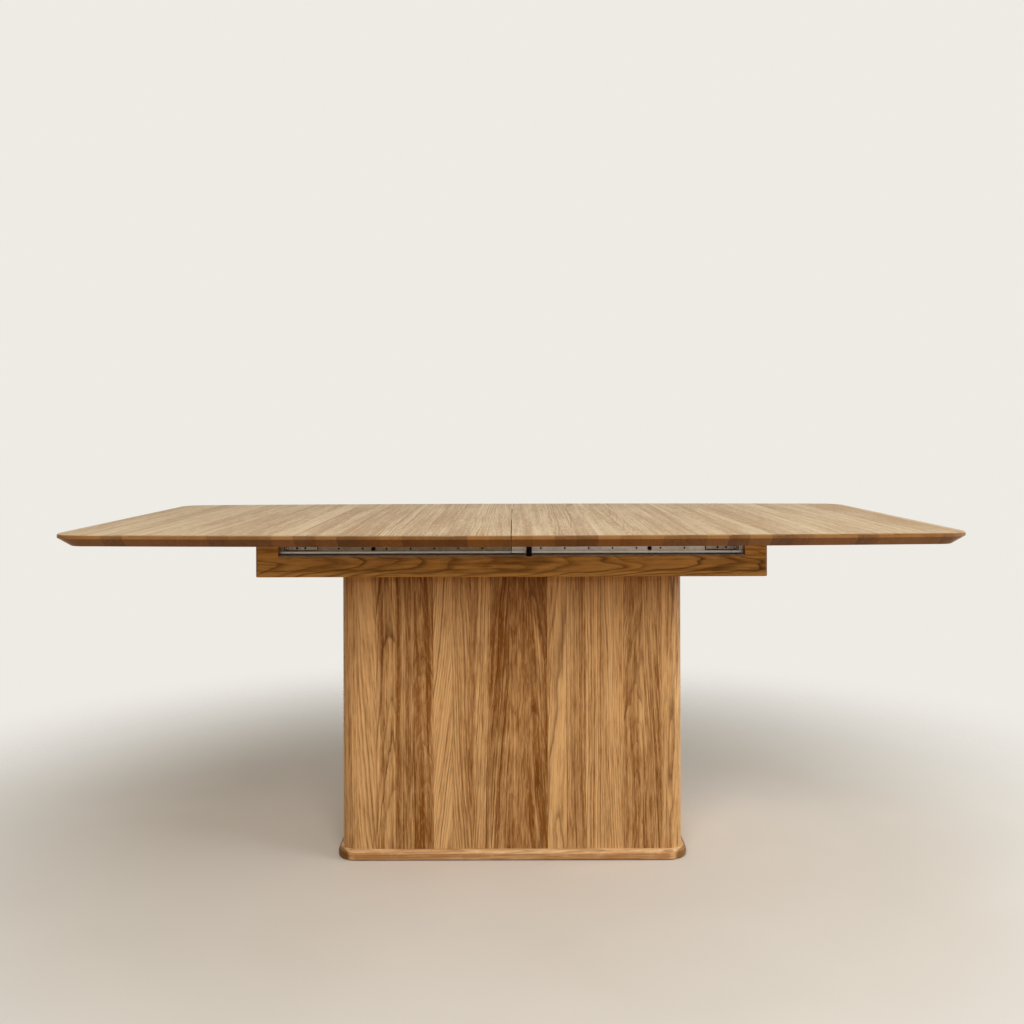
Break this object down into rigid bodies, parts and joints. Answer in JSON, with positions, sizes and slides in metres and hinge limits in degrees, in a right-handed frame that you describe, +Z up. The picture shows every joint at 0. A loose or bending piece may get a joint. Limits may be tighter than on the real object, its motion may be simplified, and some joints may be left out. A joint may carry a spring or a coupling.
{
  "type": "extending dining table",
  "caption": "Oak dining table whose half tops slide apart on ball runners in a notched frame over a box pedestal on a bull-nosed plinth.",
  "frame": {"origin": "on the floor under the middle of the closed top", "axes": "+X along the table to the right half, +Y away from the viewer, +Z up"},
  "size_m": [1.8, 1, 0.74],
  "materials": {
    "oak_top": "oiled staves, end grain on the long edges",
    "oak_pedestal": "oiled upright staves",
    "oak_frame": "oiled, grain along the rail",
    "oak_plinth": "oiled, bull-nosed",
    "inner_wood": "planed, unfinished",
    "galvanised_steel": "rolled, zinc coated",
    "black_steel": "satin",
    "zinc_fasteners": "bright zinc",
    "ball_steel": "polished",
    "insert_brass": "plain",
    "stop_plastic": "moulded, matte",
    "glide_plastic": "moulded, matte"
  },
  "bodies": {
    "base": {"bearer_back": "inner_wood", "bearer_front": "inner_wood", "bolt_washers": "zinc_fasteners", "centre_stop_back": "stop_plastic", "centre_stop_front": "stop_plastic", "channel_screws": "zinc_fasteners", "corner_blocks": "inner_wood", "cross_rail_left": "inner_wood", "cross_rail_right": "inner_wood", "end_rail_left": "oak_frame", "end_rail_right": "oak_frame", "floor_board": "inner_wood", "floor_glides": "glide_plastic", "frame_bolts": "zinc_fasteners", "head_board": "inner_wood", "ledge_strip_back": "galvanised_steel", "ledge_strip_front": "galvanised_steel", "panel_back": "oak_pedestal", "panel_front": "oak_pedestal", "panel_left": "oak_pedestal", "panel_right": "oak_pedestal", "plinth": "oak_plinth", "plinth_screws": "zinc_fasteners", "post_back_left": "oak_pedestal", "post_back_right": "oak_pedestal", "post_front_left": "oak_pedestal", "post_front_right": "oak_pedestal", "rail_back": "oak_frame", "rail_front": "oak_frame", "slide_channel_back": "galvanised_steel", "slide_channel_front": "galvanised_steel", "spacer_back": "inner_wood", "spacer_front": "inner_wood", "threaded_inserts": "insert_brass", "travel_stops": "zinc_fasteners"},
    "left_half": {"catch_plates_left": "galvanised_steel", "runner_back_left": "galvanised_steel", "runner_front_left": "galvanised_steel", "runner_screws_left": "zinc_fasteners", "seam_dowels": "inner_wood", "stiffener_left_back": "black_steel", "stiffener_left_front": "black_steel", "stiffener_screws_left": "zinc_fasteners", "top_left": "oak_top"},
    "right_half": {"catch_plates_right": "galvanised_steel", "runner_back_right": "galvanised_steel", "runner_front_right": "galvanised_steel", "runner_screws_right": "zinc_fasteners", "stiffener_right_back": "black_steel", "stiffener_right_front": "black_steel", "stiffener_screws_right": "zinc_fasteners", "top_right": "oak_top"},
    "left_cages": {"ball_cage_back_left": "galvanised_steel", "ball_cage_front_left": "galvanised_steel", "slide_balls_left": "ball_steel"},
    "right_cages": {"ball_cage_back_right": "galvanised_steel", "ball_cage_front_right": "galvanised_steel", "slide_balls_right": "ball_steel"}
  },
  "joints": [
    {"name": "left_top_slide", "type": "slide", "parent": "base", "child": "left_half", "axis": [-1, 0, 0], "range_m": [0, 0.25]},
    {"name": "right_top_slide", "type": "slide", "parent": "base", "child": "right_half", "axis": [1, 0, 0], "range_m": [0, 0.25]},
    {"name": "left_cage_slide", "type": "slide", "parent": "base", "child": "left_cages", "axis": [-1, 0, 0], "range_m": [0, 0.125]},
    {"name": "right_cage_slide", "type": "slide", "parent": "base", "child": "right_cages", "axis": [1, 0, 0], "range_m": [0, 0.125]}
  ],
  "couplings": [
    {"joint": "left_cage_slide", "follows": "left_top_slide", "ratio": 0.5},
    {"joint": "right_cage_slide", "follows": "right_top_slide", "ratio": 0.5}
  ]
}
